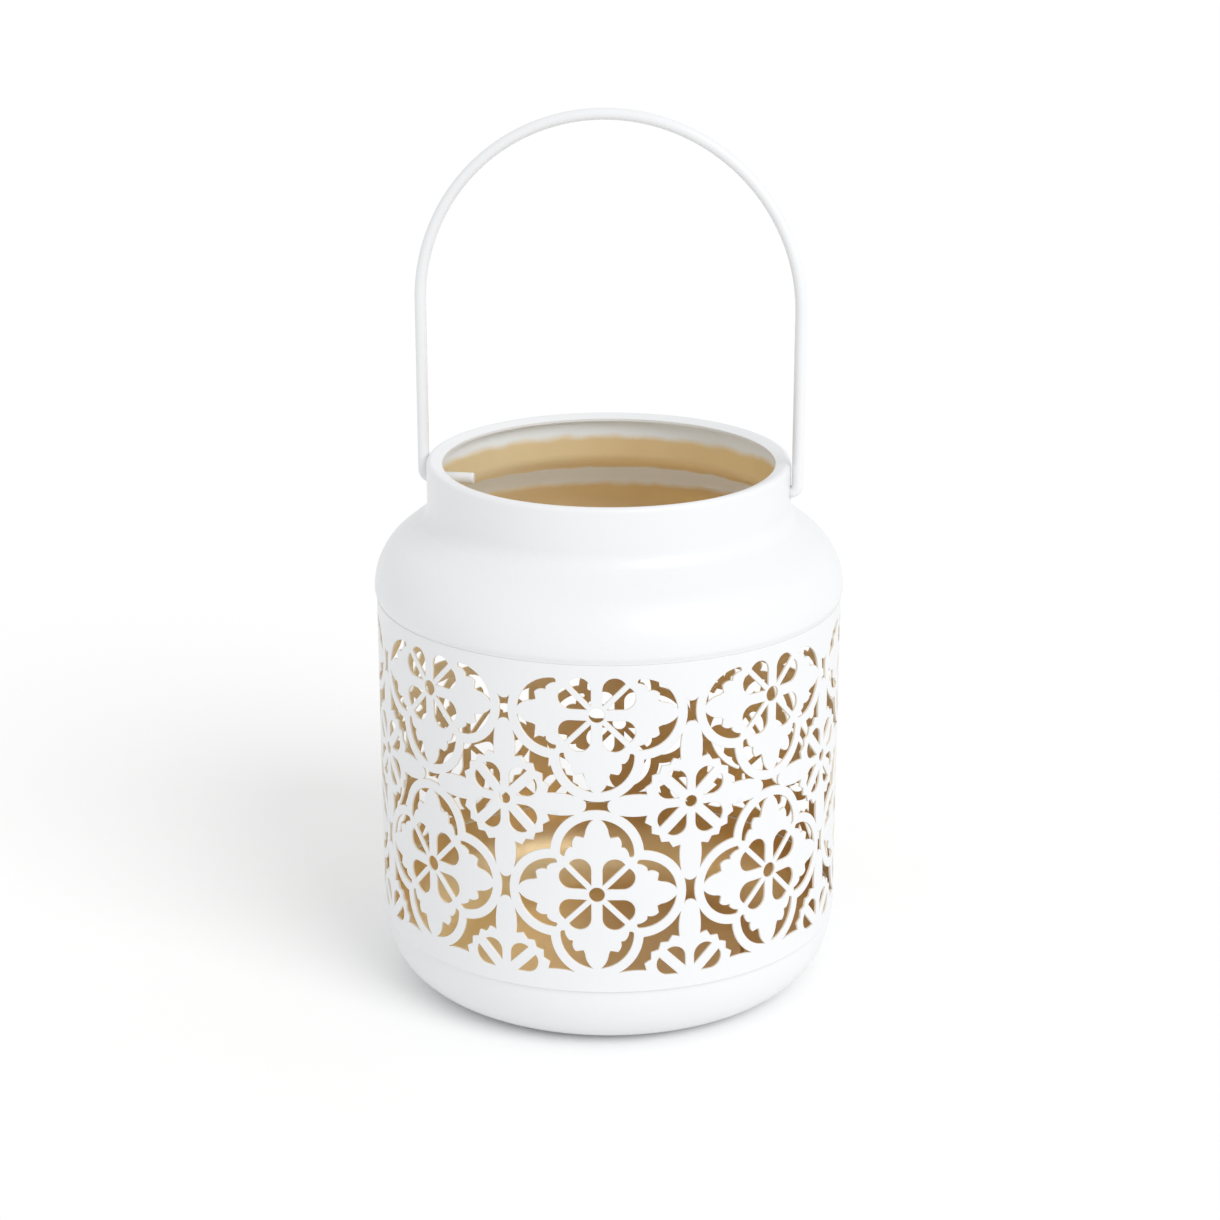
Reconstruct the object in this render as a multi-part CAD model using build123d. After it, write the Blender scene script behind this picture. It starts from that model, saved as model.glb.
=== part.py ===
from build123d import *
import math
import os

# Driving dimensions, in millimetres and degrees

# Sheet metal and the seams where the pieces nest
SHEET = 0.6
JOINT_GAP = 0.1
LAP = 2.2

# Base pan
CORNER_R = 16.5
PAN_WALL = 2.1
FOOT_WIDTH = 6.0
PANEL_RISE = 1.2

# Punched band
BAND_R = 60.0
TILE = 47.0
ROWS = 2
BORDER_LOW = 5.3
BORDER_TOP = 3.2
PATTERN_TURN = 6.15

# Tile pattern: a medallion in the middle of each square tile, a rosette at each corner
SLOT_WAIST = 2.2
SLOT_LENGTH = 6.9
SLOT_HOLLOW = 0.85
RING = 2.45
LOBE_SPREAD = 1.175
LEAF_TIP = 1.9
PETAL_GAP = 1.3
PETAL_CROWN_R = 3.0
PETAL_BAR = 2.8
PETAL_VEIN = 1.4
HUB_R = 1.95
CORNER_GAP = 4.3
ROSETTE_RIM = 2.9
ROSETTE_CROWN_R = 3.0
ROSETTE_BAR = 2.3
ROSETTE_VEIN = 2.7
ROSETTE_HUB_R = 1.55
TEETH = 4
TOOTH = 1.05
STRUT = 4.9
STRUT_ROOT = 5.5
STRUT_SWELL = 0.3

# Shoulder collar
BULGE = 0.5
CURL_UNDER_R = 2.4
DOME_R = 17.0
SLOPE = 52.0
ROOT_R = 5.5
STEP_IN = 13.4
NECK_WALL = 10.05
RIM_R = 1.2
LIP_IN = 4.05
LIP_SLOPE = 20.0

# Wire bail
WIRE_D = 3.0
HOLE_GAP = 0.3
LEG_GAP = 0.3
PIVOT_DROP = 6.0
BEND_INNER_R = 0.5
LEG = 46.2
STUB_LEFT = 10.8
STUB_RIGHT = 6.0
WIRE_END_ROUND = 0.5

# Sizes that follow from the driving ones
nest_r = BAND_R - SHEET - JOINT_GAP
columns = round(2 * math.pi * BAND_R / TILE)
pitch = 2 * math.pi * BAND_R / columns
half = pitch / 2
strut_half = STRUT / 2

# A medallion's ring has four lobes, whose centres stand LOBE_SPREAD radii from its middle
lobe_r = (half - SLOT_WAIST / 2 - RING) / (1 + LOBE_SPREAD)
lobe_d = LOBE_SPREAD * lobe_r
ring_r = lobe_r + RING
petal_reach = lobe_d - PETAL_GAP

# Seen from a rosette, the rings next to it cross in a cusp on the diagonal
ring_d = half - lobe_d
cusp = (half + ring_d - math.sqrt(2 * ring_r**2 - (half - ring_d) ** 2)) / 2
rosette_r = math.sqrt(2) * cusp - CORNER_GAP - TOOTH
rosette_reach = rosette_r - ROSETTE_RIM

lower_seam_z = CORNER_R + PAN_WALL
low_row_z = lower_seam_z + BORDER_LOW + half - strut_half
top_row_z = low_row_z + (ROWS - 1) * pitch
upper_seam_z = top_row_z + petal_reach + BORDER_TOP

shoulder_r = BAND_R + BULGE
neck_r = BAND_R - STEP_IN
curl_reach = shoulder_r - nest_r
dome_z = upper_seam_z + JOINT_GAP + math.sqrt(CURL_UNDER_R**2 - (CURL_UNDER_R - curl_reach) ** 2)
slope = math.radians(SLOPE)
cone = (shoulder_r - neck_r - (DOME_R + ROOT_R) * (1 - math.cos(slope))) / math.sin(slope)
root_z = dome_z + (DOME_R + ROOT_R) * math.sin(slope) + cone * math.cos(slope)
rim_z = root_z + NECK_WALL

wire_r = WIRE_D / 2
pivot_z = rim_z - PIVOT_DROP
leg_x = neck_r + LEG_GAP + wire_r
bend_r = wire_r + BEND_INNER_R
arch_z = pivot_z + LEG
right_end_x = neck_r - SHEET - STUB_RIGHT
left_end_x = STUB_LEFT + SHEET - neck_r


def polar(centre, radius, degrees):
    """Point at a radius and an angle from a centre."""
    turn = math.radians(degrees)
    return (centre[0] + radius * math.cos(turn), centre[1] + radius * math.sin(turn))


def spun(edges):
    """Solid of revolution about Z from a closed profile drawn in (radius, height)."""
    profile = Face(Wire(edges))
    return Solid.revolve(Plane.XZ * profile, 360, Axis.Z)


def base_pan():
    """Flat-footed pan: raised centre panel, foot ring, wide corner, short wall that nests in the band."""
    corner = (nest_r - CORNER_R, CORNER_R)
    foot_in = corner[0] - FOOT_WIDTH
    panel_r = foot_in - PANEL_RISE
    wall_top = lower_seam_z + LAP
    inner_corner_r = CORNER_R - SHEET
    outside = [(0, PANEL_RISE), (panel_r, PANEL_RISE), (foot_in, 0), (corner[0], 0)]
    inside = [
        (corner[0], SHEET),
        (foot_in, SHEET),
        (panel_r, PANEL_RISE + SHEET),
        (0, PANEL_RISE + SHEET),
        (0, PANEL_RISE),
    ]
    edges = list(Polyline(*outside).edges())
    edges.append(ThreePointArc(outside[-1], polar(corner, CORNER_R, -45), (nest_r, CORNER_R)))
    edges += Polyline(
        (nest_r, CORNER_R), (nest_r, wall_top), (nest_r - SHEET, wall_top), (nest_r - SHEET, CORNER_R)
    ).edges()
    edges.append(ThreePointArc((nest_r - SHEET, CORNER_R), polar(corner, inner_corner_r, -45), inside[0]))
    edges += Polyline(*inside).edges()
    return spun(edges)


def collar_side(inset):
    """Edges of one side of the collar's sheet, from the tucked edge up to the lip, and its ends."""
    curl = (shoulder_r - CURL_UNDER_R, dome_z)
    dome = (shoulder_r - DOME_R, dome_z)
    root = (neck_r + ROOT_R, root_z)
    rim = (neck_r - RIM_R, rim_z)
    tuck_r = nest_r - inset
    curl_r = CURL_UNDER_R - inset
    crease_z = dome_z - math.sqrt(curl_r**2 - (tuck_r - curl[0]) ** 2)
    crease_angle = math.degrees(math.atan2(crease_z - dome_z, tuck_r - curl[0]))
    tuck = (tuck_r, upper_seam_z - LAP)
    crease = (tuck_r, crease_z)
    bulge = (shoulder_r - inset, dome_z)
    dome_end = polar(dome, DOME_R - inset, SLOPE)
    root_start = polar(root, ROOT_R + inset, SLOPE + 180)
    root_end = (neck_r - inset, root_z)
    rim_start = (neck_r - inset, rim_z)
    rim_r = RIM_R - inset
    lip_angle = 90 + LIP_SLOPE
    lip_start = polar(rim, rim_r, lip_angle)
    lip_r = neck_r - LIP_IN
    lip_fall = (lip_start[0] - lip_r) * math.tan(math.radians(LIP_SLOPE))
    lip_end = (lip_r, lip_start[1] - lip_fall)
    edges = [
        Line(tuck, crease),
        ThreePointArc(crease, polar(curl, curl_r, crease_angle / 2), bulge),
        ThreePointArc(bulge, polar(dome, DOME_R - inset, SLOPE / 2), dome_end),
        Line(dome_end, root_start),
        ThreePointArc(root_start, polar(root, ROOT_R + inset, 180 + SLOPE / 2), root_end),
        Line(root_end, rim_start),
        ThreePointArc(rim_start, polar(rim, rim_r, lip_angle / 2), lip_start),
        Line(lip_start, lip_end),
    ]
    return edges, tuck, lip_end


def shoulder_collar():
    """Spun collar with a tucked edge, dome, neck and inward lip, and two holes for the bail's ends."""
    outer, outer_tuck, outer_lip = collar_side(0)
    inner, inner_tuck, inner_lip = collar_side(SHEET)
    collar = spun(outer + [Line(outer_lip, inner_lip)] + inner + [Line(inner_tuck, outer_tuck)])
    drill = Cylinder(wire_r + HOLE_GAP, 2 * (neck_r + SHEET))
    return collar - Pos(0, 0, pivot_z) * Rot(0, 90, 0) * drill


def turned(outline, quarter, flip=False):
    """Copy of an outline, swapped about the diagonal if asked, then turned by quarter turns."""
    start, steps = outline

    def place(point):
        x, y = (point[1], point[0]) if flip else point
        for _ in range(quarter % 4):
            x, y = -y, x
        return (x, y)

    return place(start), [tuple(place(point) for point in step) for step in steps]


def shifted(outline, dx, dy):
    """Copy of an outline moved by (dx, dy)."""
    start, steps = outline
    moved = [tuple((x + dx, y + dy) for x, y in step) for step in steps]
    return (start[0] + dx, start[1] + dy), moved


def round_hole(radius):
    """Outline of a round hole about the origin."""
    return (radius, 0), [((0, radius), (-radius, 0)), ((0, -radius), (radius, 0))]


def half_petal(reach, crown_r, bar, vein):
    """Half of a petal in the first quadrant, beside the upright bar and above the diagonal vein."""
    side = bar / 2
    rise = vein / math.sqrt(2)
    centre = (side + crown_r, reach - crown_r)
    # The crown's circle meets the vein's edge, the line y = x + rise, at its further crossing
    middle = (centre[0] + centre[1] - rise) / 2
    offset = (centre[1] - centre[0] - rise) / 2
    vein_x = middle + math.sqrt(crown_r**2 / 2 - offset**2)
    vein_end = (vein_x, vein_x + rise)
    end_angle = math.degrees(math.atan2(vein_end[1] - centre[1], vein_end[0] - centre[0]))
    tip = (side, side + rise)
    crown = polar(centre, crown_r, (180 + end_angle) / 2)
    return tip, [((side, centre[1]),), (crown, vein_end), (tip,)]


def crescent():
    """Cut-out between a lobe of the ring and the scalloped leaf, right of the upper lobe's middle."""
    # The lobe runs from the leaf's tip to the diagonal, where it meets the next lobe
    tip_angle = 90 - math.degrees(math.asin(LEAF_TIP / 2 / lobe_r))
    diagonal_angle = math.degrees(math.acos(min(1, LOBE_SPREAD / math.sqrt(2)))) - 45

    # Corners of the leaf's edge, as shares of the lobe's radius and of the way along the lobe
    def at(out, along):
        return polar((0, lobe_d), out * lobe_r, tip_angle + along * (diagonal_angle - tip_angle))

    tip = at(1, 0)
    blunt_end = 0.90
    steps = [
        (at(0.82, 0.14), at(0.65, 0.25)),
        (at(0.59, 0.34),),
        (at(0.76, 0.45),),
        (at(0.75, 0.58), at(0.68, 0.71)),
        (at(0.77, 0.74),),
        (at(0.83, 0.82), at(0.88, 0.94)),
        (at(0.94, 0.94), at(1, blunt_end)),
        (at(1, blunt_end / 2), tip),
    ]
    return tip, steps


def corner_cut():
    """Cut-out around a rosette, between its toothed edge and the two rings' arcs next to it.

    It is drawn about the rosette's centre, in the quadrant towards one medallion.
    """
    near = (half, ring_d)
    far = (ring_d, half)
    # Its ends are where a strut's edge meets a ring
    run = math.sqrt(ring_r**2 - (ring_d - strut_half) ** 2)
    first = (half - run, strut_half)
    last = (strut_half, half - run)
    edge_angle = math.degrees(math.asin(STRUT_ROOT / 2 / rosette_r))
    step = (90 - 2 * edge_angle) / TEETH
    valleys = [polar((0, 0), rosette_r, edge_angle + step * i) for i in range(TEETH + 1)]
    tips = [polar((0, 0), rosette_r + TOOTH, edge_angle + step * (i + 0.5)) for i in range(TEETH)]
    swell = (STRUT + STRUT_ROOT) / 4 + STRUT_SWELL
    middle = (first[0] + valleys[0][0]) / 2
    point = (cusp, cusp)

    def on_ring(centre, start, end):
        begin = math.atan2(start[1] - centre[1], start[0] - centre[0]) % (2 * math.pi)
        finish = math.atan2(end[1] - centre[1], end[0] - centre[0]) % (2 * math.pi)
        return polar(centre, ring_r, math.degrees((begin + finish) / 2))

    steps = [((middle, swell), valleys[0])]
    for tip, valley in zip(tips, valleys[1:]):
        steps += [(tip,), (valley,)]
    steps.append(((swell, middle), last))
    steps.append((on_ring(far, last, point), point))
    steps.append((on_ring(near, point, first), first))
    return first, steps


def slot():
    """Waisted slot between two rings that stand one above the other, with hollow ends."""
    end_x = SLOT_LENGTH / 2
    waist = SLOT_WAIST / 2
    end_y = waist + ring_r - math.sqrt(ring_r**2 - end_x**2)
    dip = end_x - SLOT_HOLLOW
    steps = [
        ((0, waist), (-end_x, end_y)),
        ((-dip, 0), (-end_x, -end_y)),
        ((0, -waist), (end_x, -end_y)),
        ((dip, 0), (end_x, end_y)),
    ]
    return (end_x, end_y), steps


def medallion(lobes):
    """Hub, flower and the leaf's cut-outs of one medallion, for the lobes given by their quarter turns."""
    cuts = [round_hole(HUB_R)]
    petal = half_petal(petal_reach, PETAL_CROWN_R, PETAL_BAR, PETAL_VEIN)
    cuts += [turned(petal, quarter, flip) for quarter in range(4) for flip in (False, True)]
    right = crescent()
    for quarter in lobes:
        cuts.append(turned(right, quarter))
        cuts.append(turned(mirrored(right), quarter))
    return cuts


def mirrored(outline):
    """Copy of an outline mirrored left to right: swapped about the diagonal, then turned by a quarter."""
    return turned(outline, 1, flip=True)


def rosette(quarters, hub):
    """Flower and surrounding cut-outs of one rosette, for the quadrants given by their quarter turns."""
    cuts = [round_hole(ROSETTE_HUB_R)] if hub else []
    petal = half_petal(rosette_reach, ROSETTE_CROWN_R, ROSETTE_BAR, ROSETTE_VEIN)
    for quarter in quarters:
        cuts += [turned(petal, quarter), turned(petal, quarter, flip=True), turned(corner_cut(), quarter)]
    return cuts


def column_cuts():
    """All cut-outs of one column, in (distance along the band, height), about the column's middle line."""
    every_lobe = (0, 1, 2, 3)
    without_top = (1, 2, 3)
    cuts = []
    for row in range(ROWS):
        z = low_row_z + row * pitch
        lobes = without_top if row == ROWS - 1 else every_lobe
        cuts += [shifted(cut, 0, z) for cut in medallion(lobes)]
        cuts.append(shifted(turned(slot(), 1), half, z))
        if row:
            cuts.append(shifted(slot(), 0, z - half))
        # The lowest rosettes are cut only above their strut, where the plain border begins
        quarters = every_lobe if row else (0, 1)
        cuts += [shifted(cut, half, z - half) for cut in rosette(quarters, hub=row > 0)]
    return cuts


def punch(outline, column):
    """Prism through the band's wall, square to the wall at the middle of its own outline."""
    start, steps = outline
    across = [start[0]] + [point[0] for step in steps for point in step]
    middle = (min(across) + max(across)) / 2
    here = (start[0] - middle, start[1])
    edges = []
    for step in steps:
        points = [(x - middle, y) for x, y in step]
        edges.append(ThreePointArc(here, *points) if len(points) == 2 else Line(here, points[0]))
        here = points[-1]
    angle = PATTERN_TURN + column * 360 / columns + math.degrees(middle / BAND_R)
    front = Plane(origin=(0, 0, 0), x_dir=(1, 0, 0), z_dir=(0, -1, 0))
    # Each prism starts inside the band and ends outside it, by a few sheets either way
    clear = 4 * SHEET
    prism = Solid.extrude(front * Face(Wire(edges)), Vector(0, -2 * clear, 0))
    return Rot(0, 0, angle) * Pos(0, clear - BAND_R, 0) * prism


def punched_band():
    """Rolled band with the tile pattern cut through it."""
    height = upper_seam_z - lower_seam_z
    outer = Cylinder(BAND_R, height)
    inner = Cylinder(BAND_R - SHEET, height)
    wall = Pos(0, 0, lower_seam_z + height / 2) * (outer - inner)
    cuts = column_cuts()
    return wall - [punch(cut, column) for column in range(columns) for cut in cuts]


def bail_handle():
    """Bent wire: an end through each hole, two legs beside the neck and a half-round arch."""
    right = leg_x - bend_r
    top = pivot_z + bend_r
    path = Wire(
        [
            Line((right_end_x, pivot_z), (right, pivot_z)),
            ThreePointArc((right, pivot_z), polar((right, top), bend_r, -45), (leg_x, top)),
            Line((leg_x, top), (leg_x, arch_z)),
            ThreePointArc((leg_x, arch_z), polar((0, arch_z), leg_x, 45), (0, arch_z + leg_x)),
            ThreePointArc((0, arch_z + leg_x), polar((0, arch_z), leg_x, 135), (-leg_x, arch_z)),
            Line((-leg_x, arch_z), (-leg_x, top)),
            ThreePointArc((-leg_x, top), polar((-right, top), bend_r, 225), (-right, pivot_z)),
            Line((-right, pivot_z), (left_end_x, pivot_z)),
        ]
    )
    section = Plane(origin=(right_end_x, 0, pivot_z), z_dir=(1, 0, 0)) * Circle(wire_r)
    wire = sweep(section, path=Plane.XZ * path)
    ends = wire.faces().filter_by(Axis.X).sort_by(Axis.X)
    wire = fillet(ends.edges(), WIRE_END_ROUND)
    expected = math.pi * wire_r**2 * path.length
    print(f"bail wire {path.length:.1f} mm long, volume {wire.volume:.0f} of {expected:.0f} mm3")
    return wire


def main():
    pieces = {
        "base_pan": base_pan(),
        "punched_band": punched_band(),
        "shoulder_collar": shoulder_collar(),
        "bail_handle": bail_handle(),
    }
    os.makedirs("parts", exist_ok=True)
    for name, piece in pieces.items():
        export_step(piece, f"parts/{name}.step")
    print(f"seams at {lower_seam_z:.2f} and {upper_seam_z:.2f}, rim at {rim_z + RIM_R:.2f}")
    print(f"pivot at {pivot_z:.2f}, arch centre at {arch_z:.2f}, legs at {leg_x:.2f}")


main()
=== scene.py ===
# %% [markdown]
# # A punched tin lantern
# The lantern is three thin painted sheets that nest into each other, and a wire handle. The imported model
# gives each piece's place and size, and this lesson makes each piece again as a smooth surface with its
# paint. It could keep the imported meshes, but these are loose triangles, which show as facets in a glossy
# paint.

# %% Load the frame
import math

import bmesh
import bpy
import numpy as np
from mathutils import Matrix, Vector
from mathutils.geometry import delaunay_2d_cdt


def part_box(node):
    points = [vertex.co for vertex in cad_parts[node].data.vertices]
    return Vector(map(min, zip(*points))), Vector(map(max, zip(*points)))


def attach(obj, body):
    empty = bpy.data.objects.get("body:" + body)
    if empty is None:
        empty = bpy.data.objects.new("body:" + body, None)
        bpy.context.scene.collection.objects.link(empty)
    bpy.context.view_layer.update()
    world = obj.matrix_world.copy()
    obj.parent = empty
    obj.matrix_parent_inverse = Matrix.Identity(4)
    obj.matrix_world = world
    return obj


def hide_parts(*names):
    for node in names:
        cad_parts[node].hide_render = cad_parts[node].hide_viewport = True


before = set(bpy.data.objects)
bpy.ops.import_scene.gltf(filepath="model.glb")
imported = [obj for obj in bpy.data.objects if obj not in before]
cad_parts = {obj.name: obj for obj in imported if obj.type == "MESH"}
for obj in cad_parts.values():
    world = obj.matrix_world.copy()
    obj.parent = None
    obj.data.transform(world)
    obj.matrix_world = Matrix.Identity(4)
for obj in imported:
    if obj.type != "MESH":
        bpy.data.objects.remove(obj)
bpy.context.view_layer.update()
print("nodes in the frame:", sorted(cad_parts))

# %% [markdown]
# ## Sizes
# Every surface here is drawn in millimetres, as a tinsmith would mark it out, and put into the mesh in
# metres. The seams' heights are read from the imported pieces, so the surfaces meet where the solids do.

# %% Sizes of the sheets and the seams
MM = 0.001
SHEET = 0.6
JOINT_GAP = 0.1
LAP = 2.2
BAND_R = 60.0
NEST_R = BAND_R - SHEET - JOINT_GAP
LOWER_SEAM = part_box("punched_band")[0].z / MM
UPPER_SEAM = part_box("punched_band")[1].z / MM
RIM_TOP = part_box("shoulder_collar")[1].z / MM
TURNS = 256
print(f"band from {LOWER_SEAM:.2f} to {UPPER_SEAM:.2f} mm, rim at {RIM_TOP:.2f} mm")

# %% [markdown]
# ## From arrays to a piece
# A piece starts as two arrays, its points and its faces. One helper puts them into a mesh, joins points that
# meet at a seam or a pole, turns the faces outwards, and hands the piece to the body that carries it.
# Edges sharper than a set angle stay crisp, and everything else is shaded smooth.


# %% Helpers that make a piece from arrays
WELD_M = 1e-7
SHARP = 35


def shade_smooth(mesh):
    """Smooth shading everywhere, apart from edges whose faces meet at more than SHARP degrees."""
    mesh.polygons.foreach_set("use_smooth", np.ones(len(mesh.polygons), bool))
    mesh.set_sharp_from_angle(angle=math.radians(SHARP))


def signed_volume(points, faces):
    """Volume inside the faces: each face's fan of triangles with the origin, added up with its sign."""
    total = 0.0
    for k in range(1, faces.shape[1] - 1):
        a, b, c = points[faces[:, 0]], points[faces[:, k]], points[faces[:, k + 1]]
        total += np.einsum("ij,ij->", a, np.cross(b, c)) / 6
    return total


def make_piece(name, points, faces, paint, node, body):
    """Mesh object from points in mm and faces of one size; paint holds each face's material number."""
    if signed_volume(points, faces) < 0:
        faces = faces[:, ::-1]
    mesh = bpy.data.meshes.new(name)
    mesh.from_pydata((points * MM).tolist(), [], faces.tolist())
    mesh.polygons.foreach_set("material_index", paint.astype(np.int32))
    work = bmesh.new()
    work.from_mesh(mesh)
    bmesh.ops.remove_doubles(work, verts=work.verts, dist=WELD_M)
    work.to_mesh(mesh)
    work.free()
    shade_smooth(mesh)
    piece = bpy.data.objects.new(name, mesh)
    bpy.context.scene.collection.objects.link(piece)
    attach(piece, body)
    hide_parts(node)
    print(f"{name}: {len(mesh.vertices)} points, {len(mesh.polygons)} faces")
    return piece


# %% Helpers that draw a profile
def arc(centre, radius, start, end, count):
    """Points on a circle: the centre plus radius times (cos a, sin a), a from start to end in degrees."""
    a = np.radians(np.linspace(start, end, count))
    return np.column_stack([centre[0] + radius * np.cos(a), centre[1] + radius * np.sin(a)])


def straight(start, end, count):
    """Points evenly spaced on the line from start to end."""
    return np.linspace(start, end, count)


def join(*runs):
    """One profile from runs that meet end to end: a run's first point is the last one of the run before."""
    return np.vstack([runs[0]] + [run[1:] for run in runs[1:]])


def grid_faces(rings, around, closed):
    """Quads between rings of points, with point j of ring i at i * around + j; closed joins last to first."""
    i, j = np.meshgrid(np.arange(rings if closed else rings - 1), np.arange(around), indexing="ij")
    up, side = (i + 1) % rings, (j + 1) % around
    faces = np.stack([i * around + j, i * around + side, up * around + side, up * around + j], axis=-1)
    return faces.reshape(-1, 4)


def spun(profile, closed):
    """Surface of revolution: a profile point (r, z) at angle a goes to (r cos a, r sin a, z)."""
    a = np.linspace(0, 2 * np.pi, TURNS, endpoint=False)
    radius, height = profile.T
    points = np.stack(
        [np.outer(radius, np.cos(a)), np.outer(radius, np.sin(a)), np.outer(height, np.ones(TURNS))], axis=2
    ).reshape(-1, 3)
    return points, grid_faces(len(profile), TURNS, closed)


# %% [markdown]
# ## The base pan
# The pan is one disc of tin drawn into a shallow bowl with a wide round corner. Its centre is pressed up a
# little, so it stands on a flat ring and doesn't rock, and its short wall nests inside the band. A profile
# turned about the upright axis is the whole shape. The profile goes along the underside, up the outer wall,
# over the edge and back along the inside, so the sheet has its real thickness. Where the band's edge stands
# proud of the pan, a thin fillet of paint fills the step, as it does on the real lantern.

# %% Base pan
CORNER_R = 16.5
FOOT_WIDTH = 6.0
PANEL_RISE = 1.2
FILLET_R, FILLET_END = 1.8, 134
SEAM_LINE = 0.04
PANEL_POINTS, CORNER_POINTS, FILLET_POINTS, SHORT_POINTS = 12, 28, 8, 4
WHITE, GOLD, EDGE = 0, 1, 2


def pan_profile():
    """Section of the pan's sheet from the axis out and back, and the number of points on its outside."""
    corner = (NEST_R - CORNER_R, CORNER_R)
    foot_in = corner[0] - FOOT_WIDTH
    panel_r = foot_in - PANEL_RISE
    wall_top = LOWER_SEAM + LAP
    seam = LOWER_SEAM - SEAM_LINE
    fillet_z = seam - FILLET_R * math.sin(math.radians(FILLET_END))
    fillet = arc((NEST_R + FILLET_R, fillet_z), FILLET_R, 180, FILLET_END, FILLET_POINTS)
    outside = join(
        straight((0, PANEL_RISE), (panel_r, PANEL_RISE), PANEL_POINTS),
        straight((panel_r, PANEL_RISE), (foot_in, 0), SHORT_POINTS),
        straight((foot_in, 0), (corner[0], 0), SHORT_POINTS),
        arc(corner, CORNER_R, -90, 0, CORNER_POINTS),
        straight((NEST_R, CORNER_R), fillet[0], 2),
        fillet,
        straight(fillet[-1], (NEST_R, seam), 2),
        straight((NEST_R, seam), (NEST_R, wall_top), SHORT_POINTS),
    )
    inside = join(
        straight((NEST_R - SHEET, wall_top), (NEST_R - SHEET, CORNER_R), SHORT_POINTS),
        arc(corner, CORNER_R - SHEET, 0, -90, CORNER_POINTS),
        straight((corner[0], SHEET), (foot_in, SHEET), SHORT_POINTS),
        straight((foot_in, SHEET), (panel_r, PANEL_RISE + SHEET), SHORT_POINTS),
        straight((panel_r, PANEL_RISE + SHEET), (0, PANEL_RISE + SHEET), PANEL_POINTS),
    )
    return np.vstack([outside, inside]), len(outside)


profile, outside_rows = pan_profile()
points, faces = spun(profile, closed=False)
paint = np.where(np.arange(len(faces)) // TURNS < outside_rows, WHITE, GOLD)
base_pan = make_piece("base_pan_skin", points, faces, paint, "base_pan", "body")

# %% [markdown]
# ## The shoulder collar
# The collar is spun from one sheet: its lower edge is tucked into the band, then it bulges, domes over to a
# straight neck, and its rim is turned inwards into a narrow lip. Two holes in the neck take the wire's ends.
# The section is again a profile turned about the axis, and a Boolean with a short rod makes the holes.
# Paint bridges the crease over the band, so there the profile leaves only a fine line open.

# %% Section of the shoulder collar
BULGE, NECK_IN = 0.48, 13.4
SHOULDER_R = BAND_R + BULGE
NECK_R = BAND_R - NECK_IN
CURL_UNDER_R = 2.4
DOME_R = 17.0
ROOT_R = 5.5
SLOPE = 52.0
RIM_R = 1.2
LIP_IN, LIP_SLOPE = 4.05, 20.0
BEAD_BACK, BEAD_END = 0.16, -36
NECK_WALL = 10.05
UNDER_POINTS, DOME_POINTS, SLOPE_POINTS, ROOT_POINTS = 10, 36, 8, 20
NECK_POINTS, RIM_POINTS, LIP_POINTS = 12, 16, 5
RIM_Z = RIM_TOP - RIM_R
ROOT_Z = RIM_Z - NECK_WALL
DOME_Z = UPPER_SEAM + JOINT_GAP + math.sqrt(CURL_UNDER_R**2 - (CURL_UNDER_R - SHOULDER_R + NEST_R) ** 2)


def collar_side(inset):
    """One side of the collar's sheet, from the tucked edge to the lip's edge, moved in by inset.

    The outer side has the bead of paint: out from the crease to BEAD_BACK short of the band's face, then up
    to the curl at BEAD_END degrees.
    """
    curl = (SHOULDER_R - CURL_UNDER_R, DOME_Z)
    dome = (SHOULDER_R - DOME_R, DOME_Z)
    root = (NECK_R + ROOT_R, ROOT_Z)
    tuck_r, curl_r = NEST_R - inset, CURL_UNDER_R - inset
    crease = math.degrees(math.acos((tuck_r - curl[0]) / curl_r))
    under = arc(curl, curl_r, -crease, 0, UNDER_POINTS)
    if inset == 0:
        bead = [(NEST_R, UPPER_SEAM + SEAM_LINE), (BAND_R - BEAD_BACK, UPPER_SEAM + SEAM_LINE)]
        under = np.vstack([bead, arc(curl, curl_r, BEAD_END, 0, UNDER_POINTS)])
    over = arc(dome, DOME_R - inset, 0, SLOPE, DOME_POINTS)
    into = arc(root, ROOT_R + inset, 180 + SLOPE, 180, ROOT_POINTS)
    rim = arc((NECK_R - RIM_R, RIM_Z), RIM_R - inset, 0, 90 + LIP_SLOPE, RIM_POINTS)
    lip_r = NECK_R - LIP_IN
    lip_z = rim[-1, 1] - (rim[-1, 0] - lip_r) * math.tan(math.radians(LIP_SLOPE))
    return join(
        straight((tuck_r, UPPER_SEAM - LAP), under[0], SHORT_POINTS),
        under,
        over,
        straight(over[-1], into[0], SLOPE_POINTS),
        into,
        straight(into[-1], rim[0], NECK_POINTS),
        rim,
        straight(rim[-1], (lip_r, lip_z), LIP_POINTS),
    )


outer_side, inner_side = collar_side(0), collar_side(SHEET)[::-1]
print(f"collar section of {len(outer_side)} points outside and {len(inner_side)} inside")

# %% Spin the collar and drill its holes
HOLE_R = 1.8
HOLE_SIDES = 48
ROD_SPARE = 4
PIVOT_DROP = 6.0
PIVOT_Z = RIM_Z - PIVOT_DROP


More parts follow.
